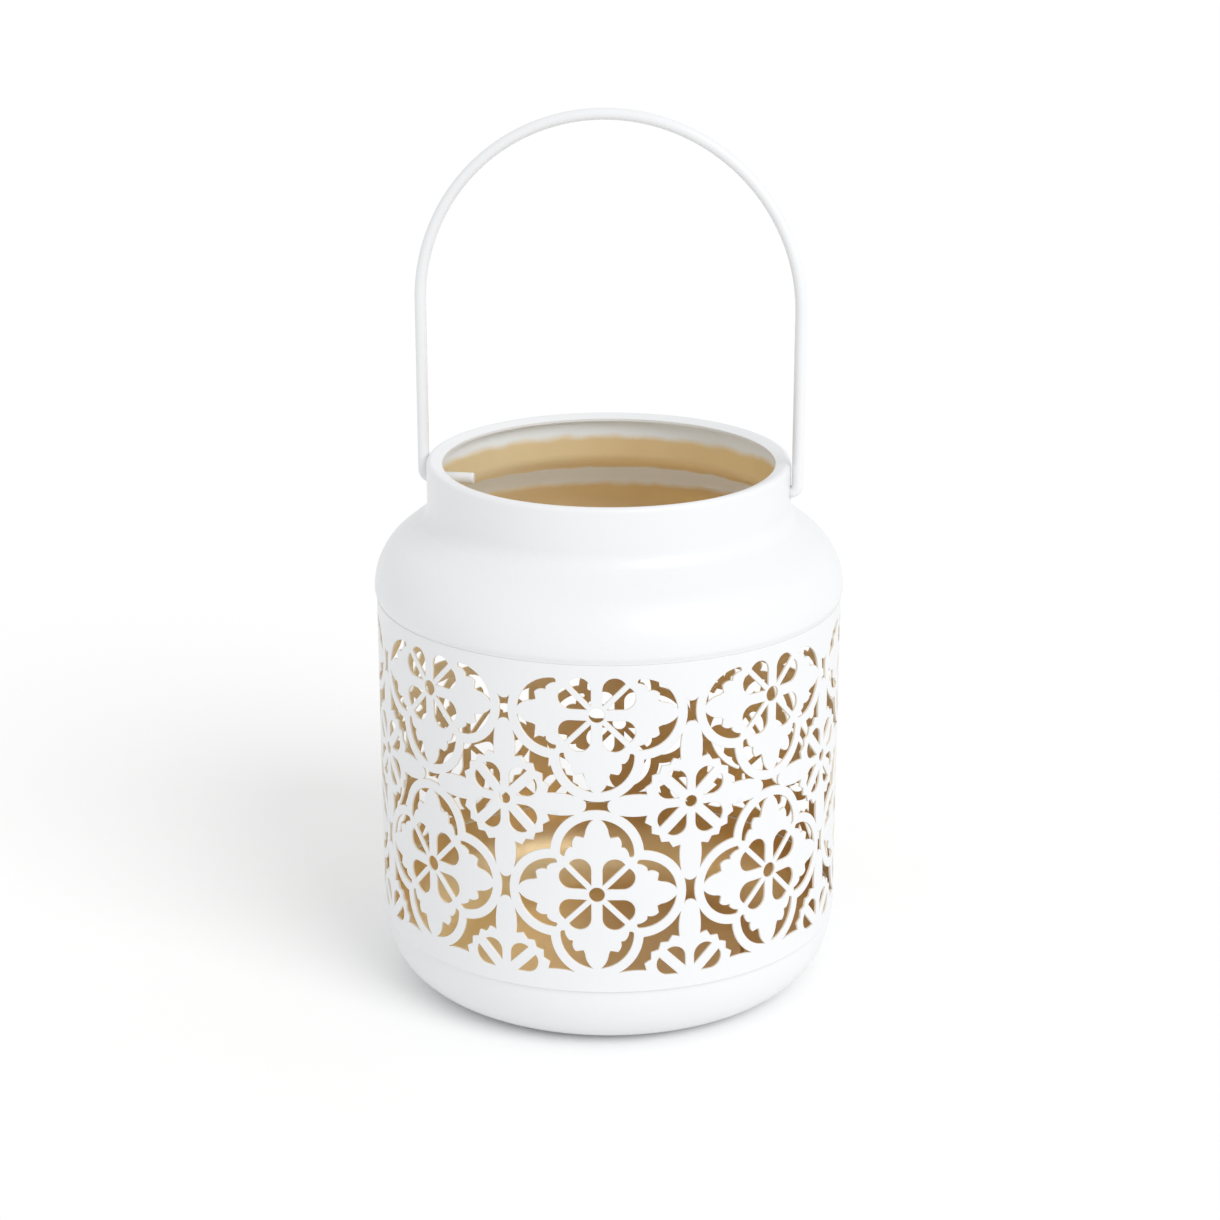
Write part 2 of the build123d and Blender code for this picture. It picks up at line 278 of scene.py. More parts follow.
def drill(piece, radius, length, height):
    """Cuts a round hole along X, at a height in mm, right through a piece, and keeps only the cut mesh."""
    rod_mesh = bpy.data.meshes.new("rod")
    rod = bmesh.new()
    bmesh.ops.create_cone(
        rod, cap_ends=True, segments=HOLE_SIDES, radius1=radius * MM, radius2=radius * MM, depth=length * MM
    )
    rod.to_mesh(rod_mesh)
    rod.free()
    tool = bpy.data.objects.new("rod", rod_mesh)
    tool.rotation_euler = (0, math.radians(90), 0)
    tool.location = (0, 0, height * MM)
    bpy.context.scene.collection.objects.link(tool)
    cut = piece.modifiers.new("drill", "BOOLEAN")
    cut.object = tool
    cut.solver = "EXACT"
    bpy.context.view_layer.update()
    drilled = bpy.data.meshes.new_from_object(piece.evaluated_get(bpy.context.evaluated_depsgraph_get()))
    piece.modifiers.remove(cut)
    piece.data = drilled
    bpy.data.objects.remove(tool)
    shade_smooth(drilled)
    print(f"{piece.name} drilled: {len(drilled.polygons)} faces")


points, faces = spun(np.vstack([outer_side, inner_side]), closed=True)
paint = np.where(np.arange(len(faces)) // TURNS < len(outer_side), WHITE, GOLD)
shoulder_collar = make_piece("shoulder_collar_skin", points, faces, paint, "shoulder_collar", "body")
drill(shoulder_collar, HOLE_R, 2 * NECK_R + ROD_SPARE, PIVOT_Z)

# %% [markdown]
# ## The wire bail
# The handle is a bent wire: an end through each hole, a tight bend, a straight leg, and a half-round arch.
# Its left end reaches further in than its right one.
# A curve with a round bevel would do, but here the path lies in one flat plane, so a circle can be carried
# along it with plain arithmetic: each ring of points stands square to the path, and the ends are rounded.

# %% Wire bail
WIRE_R = 1.48
BEND_R = 2.0
LEG_OUT, LEG = 1.8, 46.2
STUB_LEFT, STUB_RIGHT = 10.8, 6.0
LEG_X = NECK_R + LEG_OUT
ARCH_Z = PIVOT_Z + LEG
LEFT_END, RIGHT_END = NECK_R - SHEET - STUB_LEFT, NECK_R - SHEET - STUB_RIGHT
END_ROUND, END_RINGS = 0.5, 7
AROUND = 64
STUB_POINTS, BEND_POINTS, LEG_POINTS, ARCH_POINTS = 12, 14, 80, 200


def bail_path():
    """Middle line of the wire from end to end in the upright plane: runs and arcs that meet smoothly."""
    side = LEG_X - BEND_R
    top = PIVOT_Z + BEND_R
    right, left = (
        join(
            straight((end, PIVOT_Z), (side, PIVOT_Z), STUB_POINTS),
            arc((side, top), BEND_R, -90, 0, BEND_POINTS),
            straight((LEG_X, top), (LEG_X, ARCH_Z), LEG_POINTS),
            arc((0, ARCH_Z), LEG_X, 0, 90, ARCH_POINTS),
        )
        for end in (RIGHT_END, LEFT_END)
    )
    return join(right, left[::-1] * (-1, 1))


def swept_wire(path):
    """Tube along a flat path: the point at angle f is path + r (cos f normal + sin f y), with rounded ends.

    At each end, r grows from nothing to the wire's radius along a quarter circle of END_ROUND.
    """
    along = np.gradient(path, axis=0)
    along /= np.linalg.norm(along, axis=1)[:, None]
    b = np.radians(np.linspace(0, 90, END_RINGS))
    end_r = np.append(0, WIRE_R - END_ROUND + END_ROUND * np.sin(b))
    end_at = np.append(0, END_ROUND * (1 - np.cos(b)))
    first = path[0] + np.outer(end_at, along[0])
    last = path[-1] - np.outer(end_at[::-1], along[-1])
    centre = np.vstack([first, path[1:-1], last])
    radius = np.concatenate([end_r, np.full(len(path) - 2, WIRE_R), end_r[::-1]])
    first_way, last_way = (np.tile(along[end], (len(end_r), 1)) for end in (0, -1))
    heading = np.vstack([first_way, along[1:-1], last_way])
    f = np.linspace(0, 2 * np.pi, AROUND, endpoint=False)
    out = radius[:, None] * np.cos(f)
    x = centre[:, :1] - heading[:, 1:] * out
    y = radius[:, None] * np.sin(f)
    z = centre[:, 1:] + heading[:, :1] * out
    points = np.stack([x, y, z], axis=2).reshape(-1, 3)
    return points, grid_faces(len(centre), AROUND, closed=False)


points, faces = swept_wire(bail_path())
bail_handle = make_piece("bail_handle_skin", points, faces, np.zeros(len(faces)), "bail_handle", "bail")

# %% [markdown]
# ## The cut-out pattern
# The band's pattern is a traditional tile: a medallion of four lobes with a flower inside, and a small
# rosette where four tiles meet. It is drawn flat, with the distance round the band as s and the height as z.
# Each cut-out is an outline of arcs and straight runs, walked so that the hole is on the left. The whole
# pattern is a handful of such outlines, mirrored and turned by quarters about the middles of the medallions
# and rosettes.

# %% Outlines: arcs, runs, and quarter turns
COLUMNS = 8
PITCH = 2 * math.pi * BAND_R / COLUMNS
HALF = PITCH / 2
FLATNESS = 0.02
LONGEST_RUN = 2.0


def bent(start, middle, end):
    """Arc through three points, without its last one: no chord leaves its circle by more than FLATNESS."""
    p, m, q = (complex(*point) for point in (start, middle, end))
    w = (q - p) / (m - p)
    centre = p - (p - m) * (w - abs(w) ** 2) / (2j * w.imag)
    radius = abs(p - centre)
    first, mid, last = (np.angle(point - centre) for point in (p, m, q))
    sweep = (last - first) % (2 * np.pi)
    if (mid - first) % (2 * np.pi) > sweep:
        sweep -= 2 * np.pi
    step = 2 * math.acos(max(0, 1 - FLATNESS / radius))
    count = max(2, 2 * math.ceil(abs(sweep) / step / 2))
    a = first + sweep * np.arange(count) / count
    return np.column_stack([centre.real + radius * np.cos(a), centre.imag + radius * np.sin(a)])


def run(start, end):
    """Straight run without its last point, in steps of LONGEST_RUN at most."""
    count = max(1, math.ceil(math.dist(start, end) / LONGEST_RUN))
    return np.linspace(start, end, count, endpoint=False)


def outline(start, steps):
    """Closed outline from a start and its steps: (end) for a straight run, (through, end) for an arc."""
    parts, here = [], start
    for step in steps:
        parts.append(bent(here, *step) if len(step) == 2 else run(here, step[0]))
        here = step[-1]
    return hole_on_left(np.vstack(parts))


def hole_on_left(points):
    """The same outline walked counter-clockwise: its area by the shoelace sum is then positive."""
    s, z = points.T
    area = np.sum(s * np.roll(z, -1) - np.roll(s, -1) * z)
    return points if area > 0 else points[::-1]


def quarter_turn(points, quarters):
    """Outline turned by quarter turns about the origin: each one sends (s, z) to (-z, s)."""
    turn = np.linalg.matrix_power(np.array([[0, 1], [-1, 0]]), quarters % 4)
    return points @ turn


def mirrored(points):
    """Outline mirrored left to right, and walked counter-clockwise again."""
    return hole_on_left(points * (-1, 1))


def polar(centre, radius, degrees):
    """Point at a radius and an angle from a centre."""
    a = math.radians(degrees)
    return (centre[0] + radius * math.cos(a), centre[1] + radius * math.sin(a))


print(f"one tile is {PITCH:.2f} mm wide")

# %% [markdown]
# A medallion's ring follows four circles, one for each lobe. The circles' size comes from the tile: a lobe's
# outer edge stops half a slot's waist short of the tile's edge. A rosette's toothed edge stops a set distance
# short of the cusp where the rings around it cross.

# %% The outlines of each cut-out
SLOT_WAIST, SLOT_LENGTH, SLOT_HOLLOW = 2.2, 6.9, 0.85
RING = 2.45
LOBE_SPREAD = 1.175
LOBE_R = (HALF - SLOT_WAIST / 2 - RING) / (1 + LOBE_SPREAD)
LOBE_D = LOBE_SPREAD * LOBE_R
RING_R = LOBE_R + RING
RING_D = HALF - LOBE_D
CUSP = (HALF + RING_D - math.sqrt(2 * RING_R**2 - (HALF - RING_D) ** 2)) / 2
TEETH, TOOTH = 4, 1.05
CUSP_GAP = 4.3
ROSETTE_R = math.sqrt(2) * CUSP - CUSP_GAP - TOOTH
STRUT, STRUT_ROOT, STRUT_SWELL = 4.9, 5.5, 0.3
LEAF_TIP = 1.9
LEAF_EDGE = (
    ((0.82, 0.14), (0.65, 0.25)),
    ((0.59, 0.34),),
    ((0.76, 0.45),),
    ((0.75, 0.58), (0.68, 0.71)),
    ((0.77, 0.74),),
    ((0.83, 0.82), (0.88, 0.94)),
    ((0.94, 0.94), (1, 0.90)),
    ((1, 0.45), (1, 0)),
)
HUB_R, ROSETTE_HUB_R = 1.95, 1.55


def hub(radius):
    """Round hole: half circles through its left and right."""
    return outline((0, radius), [((-radius, 0), (0, -radius)), ((radius, 0), (0, radius))])


def half_petal(reach, crown_r, bar, vein):
    """Half a petal: up beside the bar, round the crown's circle to the diagonal vein, and back along it."""
    side, rise = bar / 2, vein / math.sqrt(2)
    centre = (side + crown_r, reach - crown_r)
    middle = (centre[0] + centre[1] - rise) / 2
    offset = (centre[1] - centre[0] - rise) / 2
    vein_s = middle + math.sqrt(crown_r**2 / 2 - offset**2)
    vein_end = (vein_s, vein_s + rise)
    end = math.degrees(math.atan2(vein_end[1] - centre[1], vein_end[0] - centre[0]))
    tip = (side, side + rise)
    return outline(tip, [((side, centre[1]),), (polar(centre, crown_r, (180 + end) / 2), vein_end), (tip,)])


def crescent():
    """Cut-out between a lobe and its leaf: out on the leaf's notched edge, and back on the lobe's circle.

    A place in LEAF_EDGE is a share of the lobe's radius, and a share of the way from the leaf's tip to the
    diagonal, where the next lobe begins.
    """
    tip_angle = 90 - math.degrees(math.asin(LEAF_TIP / 2 / LOBE_R))
    diagonal = math.degrees(math.acos(LOBE_SPREAD / math.sqrt(2))) - 45

    def at(out, along):
        return polar((0, LOBE_D), out * LOBE_R, tip_angle + along * (diagonal - tip_angle))

    steps = [tuple(at(*place) for place in step) for step in LEAF_EDGE]
    return outline(steps[-1][-1], steps)


def corner_cut():
    """Cut-out by a rosette: along a strut, over the teeth, along the next strut, and back on two rings."""
    edge = math.degrees(math.asin(STRUT_ROOT / 2 / ROSETTE_R))
    step = (90 - 2 * edge) / TEETH
    valleys = [polar((0, 0), ROSETTE_R, edge + step * k) for k in range(TEETH + 1)]
    tips = [polar((0, 0), ROSETTE_R + TOOTH, edge + step * (k + 0.5)) for k in range(TEETH)]
    reach = HALF - math.sqrt(RING_R**2 - (RING_D - STRUT / 2) ** 2)
    swell = (STRUT + STRUT_ROOT) / 4 + STRUT_SWELL
    middle = (reach + valleys[0][0]) / 2
    turn = math.degrees(math.atan2(CUSP - HALF, CUSP - RING_D)) % 360
    begin = math.degrees(math.atan2(reach - HALF, STRUT / 2 - RING_D)) % 360
    far_bow = polar((RING_D, HALF), RING_R, (turn + begin) / 2)
    near_bow = far_bow[::-1]
    steps = [((middle, swell), valleys[0])]
    for tip, valley in zip(tips, valleys[1:]):
        steps += [(tip,), (valley,)]
    steps += [((swell, middle), (STRUT / 2, reach)), (far_bow, (CUSP, CUSP)), (near_bow, (reach, STRUT / 2))]
    return outline((reach, STRUT / 2), steps)


def slot():
    """Waisted slot between two rings: its long sides follow the rings, and its ends are a little hollow."""
    end, waist = SLOT_LENGTH / 2, SLOT_WAIST / 2
    tall = waist + RING_R - math.sqrt(RING_R**2 - end**2)
    dip = end - SLOT_HOLLOW
    steps = [
        ((0, waist), (-end, tall)),
        ((-dip, 0), (-end, -tall)),
        ((0, -waist), (end, -tall)),
        ((dip, 0), (end, tall)),
    ]
    return outline((end, tall), steps)


print(f"lobes of {LOBE_R:.2f} mm, rosettes of {ROSETTE_R:.2f} mm")

# %% [markdown]
# One column of the band holds two medallions, one rosette and a half rosette between it and the next column.
# The column's edges run up the middle of the rosettes, so only the rosette's hub and the upright slots are
# cut by them. The lower rosettes are only cut above their strut, and the upper medallions have no top leaf:
# there the plain borders begin.

# %% All outlines of one column
STRUT_Z = 5.3
LOW_Z = LOWER_SEAM + STRUT_Z + HALF - STRUT / 2
TOP_Z = LOW_Z + PITCH
EVERY, NO_TOP, UPPER_TWO = (0, 1, 2, 3), (1, 2, 3), (0, 1)
CROWN_R = 3.0
PETAL_GAP, PETAL_BAR, PETAL_VEIN = 1.3, 2.8, 1.4
ROSETTE_GAP, ROSETTE_BAR, ROSETTE_VEIN = 2.9, 2.3, 2.7


def medallion(lobes):
    """Hub, eight half petals, and a pair of crescents for each lobe, about the medallion's middle."""
    petal = half_petal(LOBE_D - PETAL_GAP, CROWN_R, PETAL_BAR, PETAL_VEIN)
    cuts = [hub(HUB_R)]
    cuts += [quarter_turn(side, k) for k in EVERY for side in (petal, mirrored(petal))]
    cuts += [quarter_turn(side, k) for k in lobes for side in (crescent(), mirrored(crescent()))]
    return cuts


def rosette(quarters):
    """Two half petals and a corner cut for each quarter, about the rosette's middle."""
    petal = half_petal(ROSETTE_R - ROSETTE_GAP, CROWN_R, ROSETTE_BAR, ROSETTE_VEIN)
    swapped = quarter_turn(mirrored(petal), 3)
    return [quarter_turn(cut, k) for k in quarters for cut in (petal, swapped, corner_cut())]


def column_cuts():
    """Whole outlines of one column, then those that its edge halves, in (s, z) about the column's middle."""
    whole = [cut + (0, LOW_Z) for cut in medallion(EVERY)]
    whole += [cut + (0, TOP_Z) for cut in medallion(NO_TOP)]
    whole.append(slot() + (0, LOW_Z + HALF))
    sides = [cut + (HALF, LOW_Z - HALF) for cut in rosette(UPPER_TWO)]
    sides += [cut + (HALF, LOW_Z + HALF) for cut in rosette(EVERY)]
    whole += [cut - (PITCH, 0) if cut[:, 0].mean() > HALF else cut for cut in sides]
    upright = quarter_turn(slot(), 1)
    halved = [upright + (HALF, LOW_Z), hub(ROSETTE_HUB_R) + (HALF, LOW_Z + HALF), upright + (HALF, TOP_Z)]
    return whole, halved


whole_cuts, halved_cuts = column_cuts()
print(f"a column has {len(whole_cuts)} whole cut-outs and {len(halved_cuts)} shared ones")

# %% [markdown]
# ## The punched band
# A grid can't follow such outlines, and cutting hundreds of holes with a Boolean is slow and leaves long thin
# faces. Instead one flat column is filled with triangles that keep to the outlines, a constrained Delaunay
# triangulation, with extra points spread over the metal so that the sheet stays round when it is wrapped.
# The same triangles serve for the outside and the inside, and strips along the outlines make the edges. The
# outline of the outer layer stands back a little, which breaks the sharp edge as paint does.

# %% Fill one flat column with triangles
EDGE_BREAK = 0.12
POINT_SPACING = 1.7
ON_EDGE = 1e-6
OUT_OF_REACH = 1e3


def set_back(points, distance):
    """Outline moved to the right of its walk: each point goes along the mean of its two sides' normals."""
    ahead = np.roll(points, -1, axis=0) - points
    normal = np.column_stack([ahead[:, 1], -ahead[:, 0]]) / np.linalg.norm(ahead, axis=1)[:, None]
    mean = normal + np.roll(normal, 1, axis=0)
    square = np.maximum(np.sum(mean * mean, axis=1), 1.0)[:, None]
    return points + 2 * distance * mean / square


def left_half(points):
    """The part of an outline left of the column's edge, from its top point on that edge to its bottom one."""
    on_edge = np.flatnonzero(np.abs(points[:, 0] - HALF) < ON_EDGE)
    top = on_edge[np.argmax(points[on_edge, 1])]
    walked = np.roll(points, -top, axis=0)
    bottom = np.argmin(walked[:, 1] + OUT_OF_REACH * (np.abs(walked[:, 0] - HALF) > ON_EDGE))
    half_walk = walked[: bottom + 1].copy()
    half_walk[[0, -1], 0] = HALF
    return half_walk


def holds(polygon, points):
    """Whether each point is inside a polygon: a ray to the right crosses its sides an odd number of times."""
    s0, z0 = polygon.T
    s1, z1 = np.roll(polygon, -1, axis=0).T
    s, z = points[:, :1], points[:, 1:]
    spans = (z0 > z) != (z1 > z)
    rise = np.where(z1 == z0, 1, z1 - z0)
    crossing = s < s0 + (z - z0) * (s1 - s0) / rise
    return np.sum(spans & crossing, axis=1) % 2 == 1


def column_chains():
    """Chains of edge points of one column: each one's inner line, set-back outer line, and if it closes."""
    chains = [(cut, set_back(cut, EDGE_BREAK), True) for cut in whole_cuts]
    for cut in halved_cuts:
        inner, outer = left_half(cut), left_half(set_back(cut, EDGE_BREAK))
        chains.append((inner, outer, False))
        chains.append((inner[::-1] * (-1, 1), outer[::-1] * (-1, 1), False))
    count = math.ceil(PITCH / POINT_SPACING)
    along = np.linspace(-HALF, HALF, count + 1)
    for z, back, s in ((UPPER_SEAM, -EDGE_BREAK, along), (LOWER_SEAM, EDGE_BREAK, along[::-1])):
        inner = np.column_stack([s, np.full(count + 1, z)])
        chains.append((inner, inner + (0, back), False))
    return chains


def edge_runs(chains):
    """Points up the column's right edge between the chains that end on it, an array for each run of metal."""
    ends = [outer[[0, -1]] for _, outer, closes in chains if not closes]
    heights = np.concatenate(ends)
    heights = np.unique(heights[np.abs(heights[:, 0] - HALF) < ON_EDGE][:, 1].round(9))
    stretches = []
    for low, high in heights.reshape(-1, 2):
        count = max(2, math.ceil((high - low) / POINT_SPACING) + 1)
        stretches.append(np.column_stack([np.full(count, HALF), np.linspace(low, high, count)]))
    return stretches


chains = column_chains()
runs = edge_runs(chains)
print(f"{sum(len(outer) for _, outer, _ in chains)} edge points, {len(runs)} stretches up the column's side")

# %% [markdown]
# The extra points lie in staggered rows, and those that come too near to an edge are left out, since they
# would make slivers. The triangulation fills the holes too, so a triangle stays only if its middle is in
# metal.

# %% Triangles of one column
ROW_SHARE = 0.87
EDGE_CLEAR, SIDE_CLEAR = 0.5, 0.4
SAME_POINT = 1e-7


def column_triangles():
    """Constrained Delaunay triangles over the metal of one column.

    Returns the flat points, the triangles, and the number of each chain's points among them.
    """
    lines = [outer for _, outer, _ in chains] + runs + [line * (-1, 1) for line in runs]
    closes = [closed for _, _, closed in chains] + [False] * (2 * len(runs))
    starts = np.cumsum([0] + [len(line) for line in lines])
    edge_points = np.vstack(lines)
    edges = [
        np.column_stack([np.arange(n), (np.arange(n) + 1) % n])[: n if closed else n - 1] + start
        for n, closed, start in zip(map(len, lines), closes, starts)
    ]
    rows = np.arange(LOWER_SEAM, UPPER_SEAM, POINT_SPACING * ROW_SHARE)
    s, z = np.meshgrid(np.arange(-HALF, HALF, POINT_SPACING), rows)
    s = s + np.arange(len(s))[:, None] % 2 * POINT_SPACING / 2
    spread = np.column_stack([s.ravel(), z.ravel()])
    nearest = np.min(np.linalg.norm(spread[:, None] - edge_points[None], axis=2), axis=1)
    inside = np.abs(spread[:, 0]) < HALF - SIDE_CLEAR * POINT_SPACING
    spread = spread[(nearest > EDGE_CLEAR * POINT_SPACING) & inside]
    openings = [line for line, closed in zip(lines, closes) if closed] + [
        line for line, closed in zip(lines[: len(chains) - 2], closes) if not closed
    ]
    spread = spread[~np.any([holds(opening, spread) for opening in openings], axis=0)]
    everything = np.vstack([edge_points, spread])
    flat, _, triangles, origins, _, _ = delaunay_2d_cdt(
        list(map(Vector, everything.tolist())), np.vstack(edges).tolist(), [], 0, SAME_POINT, True
    )
    flat, triangles = np.array(flat), np.array(triangles)
    middles = flat[triangles].mean(axis=1)
    s, z = middles.T
    in_metal = (np.abs(s) < HALF) & (z > LOWER_SEAM) & (z < UPPER_SEAM)
    in_metal &= ~np.any([holds(opening, middles) for opening in openings], axis=0)
    number = np.full(len(everything), -1)
    number[np.concatenate(origins).astype(int)] = np.repeat(np.arange(len(flat)), list(map(len, origins)))
    chain_numbers = [number[start : start + len(chain[0])] for start, chain in zip(starts, chains)]
    return flat, triangles[in_metal], chain_numbers


flat, triangles, chain_numbers = column_triangles()
print(f"{len(flat)} points and {len(triangles)} triangles in one column")

# %% [markdown]
# Wrapping is the last step: a flat point (s, z) goes to the angle s / R on a cylinder, and the column is
# copied round the band. The pattern is turned a little from the handle, as it is on the real lantern.

# %% Wrap the columns into the band
PATTERN_TURN = math.radians(6.15)


def wrapped(points, radius, turn):
    """Flat points (s, z) on a cylinder: angle s / R from the front, towards +X."""
    a = turn + points[:, 0] / BAND_R
    return np.column_stack([radius * np.sin(a), -radius * np.cos(a), points[:, 1]])


def band_column(turn):
    """Points, triangles and paint of one wrapped column: its outer layer, inner layer and edge strips."""
    inner_flat = flat.copy()
    for (inner, _, _), numbers in zip(chains, chain_numbers):
        inner_flat[numbers] = inner
    lip = np.vstack([inner for inner, _, _ in chains])
    points = np.vstack(
        [
            wrapped(flat, BAND_R, turn),
            wrapped(inner_flat, BAND_R - SHEET, turn),
            wrapped(lip, BAND_R - EDGE_BREAK, turn),
        ]
    )
    faces = [triangles, triangles[:, ::-1] + len(flat)]
    lip_start = 2 * len(flat)
    for (inner, _, closed), numbers in zip(chains, chain_numbers):
        lip_numbers = np.arange(len(inner)) + lip_start
        lip_start += len(inner)
        for above, below in ((numbers, lip_numbers), (lip_numbers, numbers + len(flat))):
            a, b = above, np.roll(above, -1)
            c, d = np.roll(below, -1), below
            strip = np.vstack([np.column_stack([a, b, c]), np.column_stack([a, c, d])])
            keep = np.tile(np.arange(len(a)) < (len(a) if closed else len(a) - 1), 2)
            faces.append(strip[keep])
    counts = [len(part) for part in faces]
    paint = np.repeat([WHITE, GOLD] + [WHITE, EDGE] * len(chains), counts)
    return points, np.vstack(faces), paint


columns = [band_column(PATTERN_TURN + 2 * math.pi * k / COLUMNS) for k in range(COLUMNS)]
offsets = np.cumsum([0] + [len(column[0]) for column in columns])
points = np.vstack([column[0] for column in columns])
faces = np.vstack([column[1] + offset for column, offset in zip(columns, offsets)])
paint = np.concatenate([column[2] for column in columns])
punched_band = make_piece("punched_band_skin", points, faces, paint, "punched_band", "body")

# %% [markdown]
# ## Paint
# Outside, the lantern has a white paint with a soft gloss. Sprayed paint is never quite flat: it has the fine
# skin that painters call orange peel, and its gloss changes a little from place to place. All paints are node
# materials that read Object coordinates, so they need no unwrapping.


# %% Paint helpers
def new_paint(name):
    """Node material with its Principled shader; returns the material, its nodes, its links and the shader."""
    material = bpy.data.materials.new(name)
    material.use_nodes = True
    nodes, links = material.node_tree.nodes, material.node_tree.links
    return material, nodes, links, nodes["Principled BSDF"]


def noise(nodes, links, coordinates, scale, detail=3.0):
    """Noise texture on Object coordinates, with its scale in cycles a metre."""
    texture = nodes.new("ShaderNodeTexNoise")
    texture.inputs["Scale"].default_value = scale
    texture.inputs["Detail"].default_value = detail
    links.new(coordinates.outputs["Object"], texture.inputs["Vector"])
    return texture


def spread_of(nodes, links, source, low, high, start=0.3, end=0.7):
    """Map Range node that sends values from start to end, a noise's middle, to values from low to high."""
    node = nodes.new("ShaderNodeMapRange")
    for name, value in (("From Min", start), ("From Max", end), ("To Min", low), ("To Max", high)):
        node.inputs[name].default_value = value
    links.new(source, node.inputs["Value"])
    return node.outputs["Result"]


def blend(nodes, links, share, first, second):
    """Colour that goes from the first to the second with a share; each is a constant or a node's colour."""
    mix = nodes.new("ShaderNodeMix")
    mix.data_type = "RGBA"
    links.new(share, mix.inputs["Factor"])
    for name, colour in (("A", first), ("B", second)):
        socket = next(s for s in mix.inputs if s.name == name and s.type == "RGBA")
        if isinstance(colour, tuple):
            socket.default_value = (*colour, 1)
        else:
            links.new(colour, socket)
    return next(s for s in mix.outputs if s.type == "RGBA")


def skin_bump(nodes, links, shader, height, strength, distance):
    """Bump node from a height to the shader's normal."""
    bump = nodes.new("ShaderNodeBump")
    bump.inputs["Strength"].default_value = strength
    bump.inputs["Distance"].default_value = distance
    links.new(height, bump.inputs["Height"])
    links.new(bump.outputs["Normal"], shader.inputs["Normal"])


# %% White paint
WHITE_TONES = (0.81, 0.82, 0.832), (0.832, 0.841, 0.851)
WHITE_ROUGH = 0.30, 0.40
WHITE_CLOUDS, WHITE_GLOSS, PEEL = 60, 180, 1400
PEEL_BUMP = 0.06, 0.0004


def white_paint():
    """White semi-gloss paint: faint clouds of tone, uneven gloss and a fine orange peel."""
    material, nodes, links, shader = new_paint("white_paint")
    place = nodes.new("ShaderNodeTexCoord")
    clouds = noise(nodes, links, place, WHITE_CLOUDS)
    links.new(blend(nodes, links, clouds.outputs["Fac"], *WHITE_TONES), shader.inputs["Base Color"])
    gloss = noise(nodes, links, place, WHITE_GLOSS)
    links.new(spread_of(nodes, links, gloss.outputs["Fac"], *WHITE_ROUGH), shader.inputs["Roughness"])
    peel = noise(nodes, links, place, PEEL, detail=1.0)
    skin_bump(nodes, links, shader, peel.outputs["Fac"], *PEEL_BUMP)
    return material


white = white_paint()
print("paint:", white.name)

# %% [markdown]
# Inside, the lantern has a gold paint, sprayed in through the mouth. The gold stops short of the rim in a
# soft speckled edge, and it hardly reaches the underside of the dome, which the neck keeps out of the spray.
# There the white shows, and there its colour is painted lighter and bluer than the outside white, as painted
# light. On the left the gold is painted paler, a painted highlight, and deep inside it is painted darker, a
# painted shade, and shinier.

# %% Gold paint
GOLD_TONES = (0.80, 0.61, 0.32), (0.90, 0.73, 0.43)
# Painted shade: the darker gold that the paint takes deep inside the lantern.
SHADED_DEEP_GOLD = (0.66, 0.47, 0.25)
# Painted highlight: the paler, brighter gold of the left inner side, where the light falls in through the
# mouth.
PAINTED_LIT_GOLD = (0.97, 0.84, 0.55)
DEEP, SHALLOW = 90.0, 118.0
# Bare white inside, painted lighter and bluer than the outside white: painted light that lifts the strip
# under the lip.
LIT_BARE_WHITE = (0.92, 0.97, 1.0)
# Share of the painted highlight at the far left of the neck.
LEFT_LIGHT_SHARE = 0.9
SPRAY_STOPS = ((116.0, 0.0), (118.4, 1.0), (123.7, 1.0), (124.4, 0.0), (132.3, 0.0), (134.3, 1.0))
SPRAY_LOW, SPRAY_HIGH = 112.0, 140.0
SPRAY_WANDER = 1.2
SPECKLE = 160
SHINE = 0.45, 0.85
GOLD_ROUGH = 0.32, 0.42
GOLD_CLOUDS, GOLD_GLOSS, GRAIN = 45, 300, 2600
GRAIN_BUMP = 0.10, 0.0003


def bare_share(nodes, links, place, split):
    """How much white is left bare at a height: stops along the height, made wavy and speckled by a noise."""
    speckle = noise(nodes, links, place, SPECKLE, detail=5.0)
    wander = nodes.new("ShaderNodeMath")
    wander.operation = "MULTIPLY_ADD"
    wander.inputs[1].default_value = 2 * SPRAY_WANDER * MM
    links.new(speckle.outputs["Fac"], wander.inputs[0])
    links.new(split.outputs["Z"], wander.inputs[2])
    low, high = (SPRAY_LOW + SPRAY_WANDER) * MM, (SPRAY_HIGH + SPRAY_WANDER) * MM
    ramp = nodes.new("ShaderNodeValToRGB")
    links.new(spread_of(nodes, links, wander.outputs["Value"], 0, 1, low, high), ramp.inputs["Fac"])
    stops = ramp.color_ramp.elements
    for _ in SPRAY_STOPS[2:]:
        stops.new(0.5)
    for stop, (height, share) in zip(stops, SPRAY_STOPS):
        stop.position = (height - SPRAY_LOW) / (SPRAY_HIGH - SPRAY_LOW)
        stop.color = (share, share, share, 1)
    return ramp.outputs["Color"]


